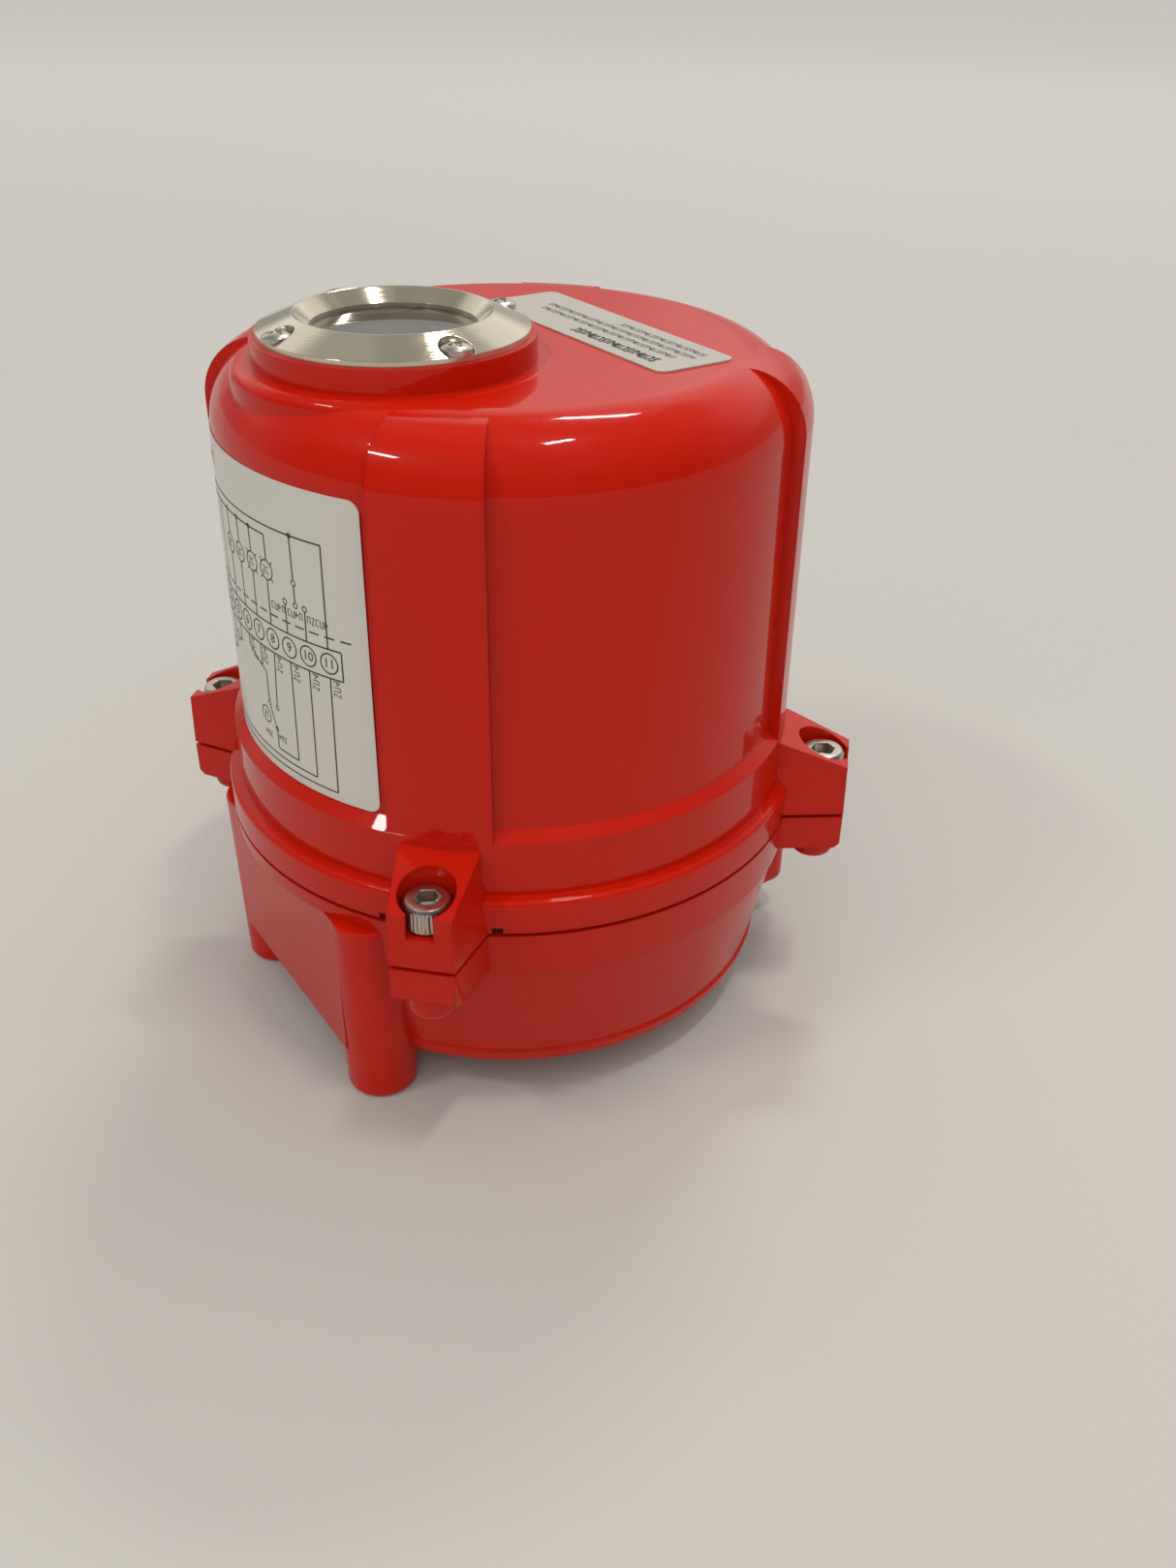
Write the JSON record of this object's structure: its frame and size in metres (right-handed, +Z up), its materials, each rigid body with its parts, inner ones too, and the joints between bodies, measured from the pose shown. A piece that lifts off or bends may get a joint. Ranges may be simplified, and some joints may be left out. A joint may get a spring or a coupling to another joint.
{
  "type": "motorized valve actuator",
  "caption": "Quarter-turn electric valve actuator: round red casting with a lift-off cover, window over a position dial, gear train, motor and square female drive.",
  "frame": {"origin": "output axis at the plane of the four feet", "axes": "+Z up along the output axis; +X from the output axis to the axis of the round housing, towards the cable entries"},
  "size_m": [0.1203, 0.1162, 0.1413],
  "materials": {
    "red_paint": "gloss",
    "steel_polished": "polished",
    "stainless": "satin",
    "glass_clear": "clear",
    "seal_rubber": "matt",
    "label_grey": "satin",
    "label_white": "satin",
    "black_plastic": "matt",
    "dial_white": "matt",
    "steel_machined": "machined",
    "gear_steel": "oiled",
    "bronze": "machined",
    "cam_plastic": "matt",
    "zinc_steel": "zinc plated",
    "motor_grey": "satin",
    "capacitor_case": "gloss",
    "heater_alloy": "as cast"
  },
  "bodies": {
    "housing": {"base": "red_paint", "bracket_screws": "zinc_steel", "capacitor": "capacitor_case", "capacitor_clip": "zinc_steel", "close_switch": "black_plastic", "cover_gasket": "seal_rubber", "end_stop_pins": "steel_machined", "entry_plug": "black_plastic", "entry_plug_seal": "seal_rubber", "gear_1_axle": "steel_machined", "gear_2_axle": "steel_machined", "gear_2_clip": "steel_machined", "gear_plate": "zinc_steel", "ground_screw": "zinc_steel", "hand_drive_cap": "seal_rubber", "hand_drive_seal": "seal_rubber", "heater": "heater_alloy", "motor_body": "motor_grey", "motor_end_cap": "motor_grey", "motor_screws": "zinc_steel", "open_switch": "black_plastic", "output_bush": "bronze", "output_seal": "seal_rubber", "plate_screws": "zinc_steel", "switch_bracket": "zinc_steel", "switch_pins": "zinc_steel", "switch_screws": "zinc_steel", "terminal_bracket": "zinc_steel", "terminal_screws": "zinc_steel", "terminal_strip": "black_plastic", "thrust_washer": "bronze", "upper_bush": "bronze"},
    "cover": {"cover": "red_paint", "cover_screws": "stainless", "window_bezel": "steel_polished", "bezel_screws": "stainless", "window_glass": "glass_clear", "window_seal": "seal_rubber", "dial_surround": "black_plastic", "wiring_label": "label_grey", "top_sticker": "label_white"},
    "output": {"output_shaft": "steel_machined", "sector_gear": "gear_steel", "drive_key": "steel_machined", "shaft_circlip": "steel_machined", "close_cam": "cam_plastic", "open_cam": "cam_plastic", "cam_nut": "steel_machined", "cam_spacer": "cam_plastic", "indicator_stem": "steel_machined", "indicator_dial": "dial_white"},
    "gear_2": {"gear_2": "gear_steel"},
    "gear_1": {"gear_1": "gear_steel"},
    "motor_rotor": {"motor_shaft": "steel_machined"},
    "hand_drive": {"hand_drive_shaft": "steel_machined", "hand_drive_gear": "gear_steel"},
    "close_lever": {"close_switch_lever": "zinc_steel"},
    "open_lever": {"open_switch_lever": "zinc_steel"}
  },
  "joints": [
    {"name": "output_turn", "type": "hinge", "parent": "housing", "child": "output", "pos_m": [0, 0, 0], "axis": [0, 0, 1], "range_deg": [0, 90]},
    {"name": "gear_2_turn", "type": "hinge", "parent": "housing", "child": "gear_2", "pos_m": [0.042, 0, 0], "axis": [0, 0, 1], "range_deg": [-330.5, 0]},
    {"name": "gear_1_turn", "type": "hinge", "parent": "housing", "child": "gear_1", "pos_m": [0.03424, 0.02898, 0], "axis": [0, 0, 1], "range_deg": [0, 1320.5]},
    {"name": "motor_turn", "type": "hinge", "parent": "housing", "child": "motor_rotor", "pos_m": [0.04303, 0.01013, 0], "axis": [0, 0, 1], "range_deg": [-4400.5, 0]},
    {"name": "hand_drive_turn", "type": "hinge", "parent": "housing", "child": "hand_drive", "pos_m": [0.04479, -0.03188, 0], "axis": [0, 0, 1], "range_deg": [0, 990.5]},
    {"name": "close_lever_press", "type": "hinge", "parent": "housing", "child": "close_lever", "pos_m": [-0.0095, 0.0158, 0], "axis": [0, 0, 1], "range_deg": [0, 3], "stiffness_Nm_per_rad": 0.02},
    {"name": "open_lever_press", "type": "hinge", "parent": "housing", "child": "open_lever", "pos_m": [-0.0095, 0.0158, 0], "axis": [0, 0, 1], "range_deg": [0, 3], "stiffness_Nm_per_rad": 0.02},
    {"name": "cover_lift", "type": "slide", "parent": "housing", "child": "cover", "axis": [0, 0, 1], "range_m": [0, 0.1]}
  ],
  "couplings": [
    {"joint": "gear_2_turn", "follows": "output_turn", "ratio": -3.6667},
    {"joint": "gear_1_turn", "follows": "output_turn", "ratio": 14.667},
    {"joint": "motor_turn", "follows": "output_turn", "ratio": -48.889},
    {"joint": "hand_drive_turn", "follows": "output_turn", "ratio": 11}
  ]
}
